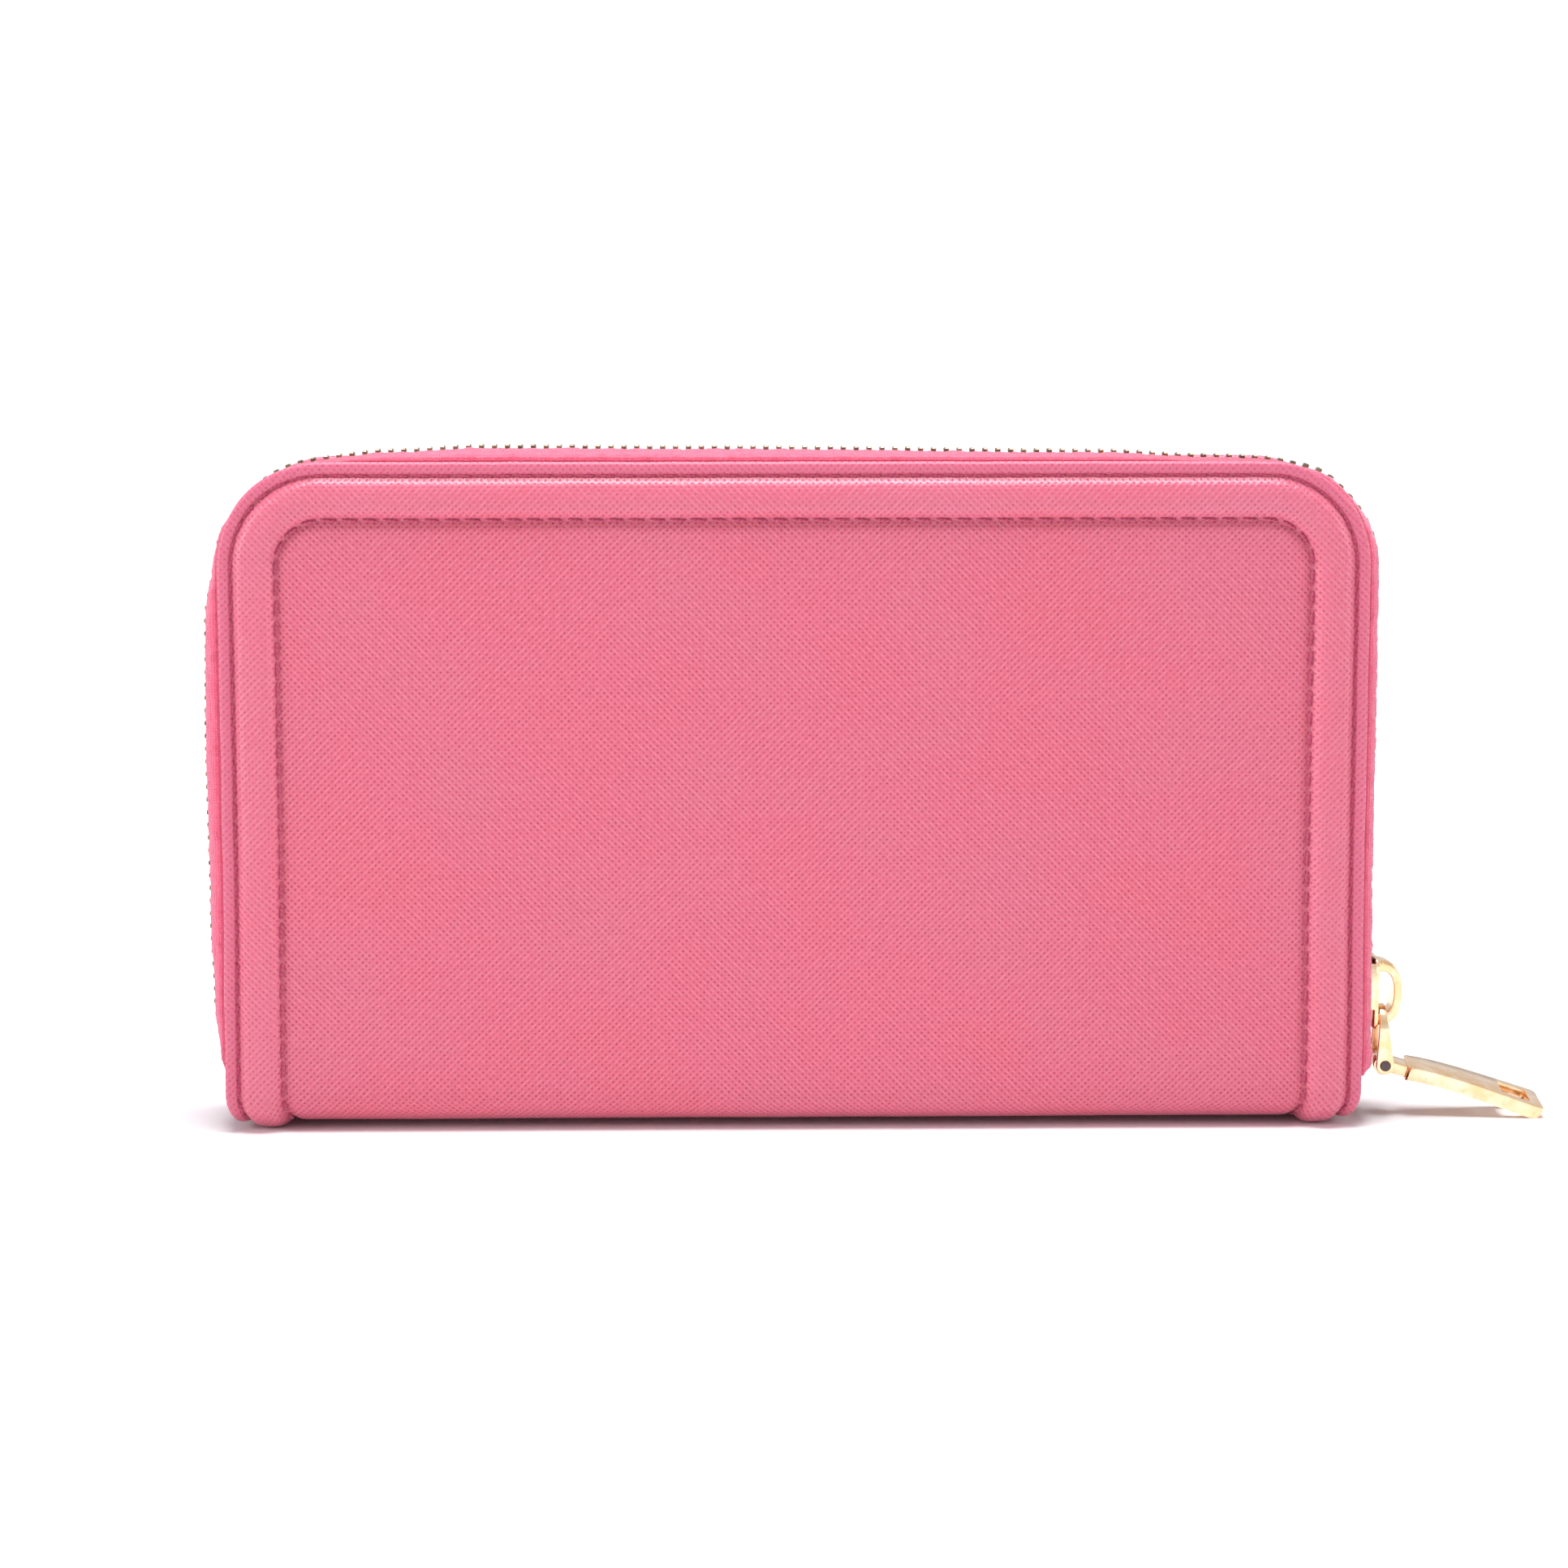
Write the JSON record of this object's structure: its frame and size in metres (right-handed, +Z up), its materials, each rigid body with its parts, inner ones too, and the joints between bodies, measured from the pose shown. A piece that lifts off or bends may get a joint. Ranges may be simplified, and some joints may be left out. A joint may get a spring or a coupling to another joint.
{
  "type": "zip-around long wallet",
  "caption": "Cross-grained leather zip-around long wallet with padded edge rolls, standing on its spine, with a gold stirrup zip pull, card leaves and a centre coin pocket.",
  "frame": {"origin": "centre of the spine leather's flat underside, between the two edge rolls it stands on", "axes": "+X along the wallet towards the zip slider, +Z up from the spine to the zip, -Y out of the back cover"},
  "size_m": [0.2177, 0.025, 0.111],
  "materials": {
    "rose_leather": "cross-grained, satin",
    "rose_edge": "folded edge binding",
    "card_leather": "smooth grained",
    "thread": "waxed sewing thread",
    "lining": "woven lining",
    "board": "stiffener board",
    "filler": "filler cord",
    "zip_tape": "woven tape, fuzzy",
    "gold": "pale gold, polished",
    "dark_steel": "pin end"
  },
  "bodies": {
    "spine": {"spine_leather": "rose_leather", "spine_lining": "lining", "spine_stitching": "thread", "left_spine_roll": "rose_leather", "right_spine_roll": "rose_leather", "left_spine_core": "filler", "right_spine_core": "filler", "left_spine_binding": "rose_edge", "right_spine_binding": "rose_edge", "coin_rear_wall": "card_leather", "coin_front_wall": "card_leather", "coin_rear_tape": "zip_tape", "coin_front_tape": "zip_tape", "coin_rear_teeth": "gold", "coin_front_teeth": "gold", "coin_side_strips": "card_leather", "coin_zip_stops": "gold", "back_left_gusset": "card_leather", "back_right_gusset": "card_leather", "front_left_gusset": "card_leather", "front_right_gusset": "card_leather"},
    "back_cover": {"back_panel_leather": "rose_leather", "back_border_leather": "rose_leather", "back_roll_core": "filler", "back_edge_binding": "rose_edge", "back_stiffener": "board", "back_lining": "lining", "back_zip_tape": "zip_tape", "back_upper_card_leaf": "card_leather", "back_middle_card_leaf": "card_leather", "back_lower_card_leaf": "card_leather", "back_zip_teeth": "gold", "back_inner_stitching": "thread", "back_outer_stitching": "thread", "back_zip_stops": "gold"},
    "front_cover": {"front_panel_leather": "rose_leather", "front_border_leather": "rose_leather", "front_roll_core": "filler", "front_edge_binding": "rose_edge", "front_stiffener": "board", "front_lining": "lining", "front_zip_tape": "zip_tape", "front_upper_card_leaf": "card_leather", "front_middle_card_leaf": "card_leather", "front_lower_card_leaf": "card_leather", "front_zip_teeth": "gold", "front_inner_stitching": "thread", "front_outer_stitching": "thread", "front_zip_stops": "gold"},
    "slider": {"slider_body": "gold"},
    "pull_link": {"pull_link": "gold", "pull_pin": "dark_steel"},
    "pull_tab": {"pull_tab": "gold"},
    "coin_slider": {"coin_slider": "gold"},
    "coin_pull": {"coin_pull": "gold"}
  },
  "joints": [
    {"name": "back_cover_hinge", "type": "hinge", "parent": "spine", "child": "back_cover", "pos_m": [0, -0.0125, 0.007], "axis": [1, 0, 0], "range_deg": [0, 22], "deforming": ["back_left_gusset", "back_right_gusset", "back_zip_teeth", "front_zip_teeth"]},
    {"name": "front_cover_hinge", "type": "hinge", "parent": "spine", "child": "front_cover", "pos_m": [0, 0.0125, 0.007], "axis": [-1, 0, 0], "range_deg": [0, 22], "deforming": ["front_left_gusset", "front_right_gusset", "back_zip_teeth", "front_zip_teeth"]},
    {"name": "zip_slide", "type": "slide", "parent": "back_cover", "child": "slider", "axis": [0, 0, 1], "range_m": [0, 0.06], "deforming": ["back_zip_teeth", "front_zip_teeth"]},
    {"name": "link_hinge", "type": "hinge", "parent": "slider", "child": "pull_link", "pos_m": [0.0973, 0, 0.0167], "axis": [0, -1, 0], "range_deg": [0, 75]},
    {"name": "tab_hinge", "type": "hinge", "parent": "pull_link", "child": "pull_tab", "pos_m": [0.0973, 0, 0.0075], "axis": [0, -1, 0], "range_deg": [0, 45]},
    {"name": "coin_zip_slide", "type": "slide", "parent": "spine", "child": "coin_slider", "axis": [-1, 0, 0], "range_m": [0, 0.136], "deforming": ["coin_rear_teeth", "coin_front_teeth"]},
    {"name": "coin_pull_hinge", "type": "hinge", "parent": "coin_slider", "child": "coin_pull", "pos_m": [0.0726, 0, 0.0935], "axis": [0, -1, 0], "range_deg": [0, 180]}
  ]
}
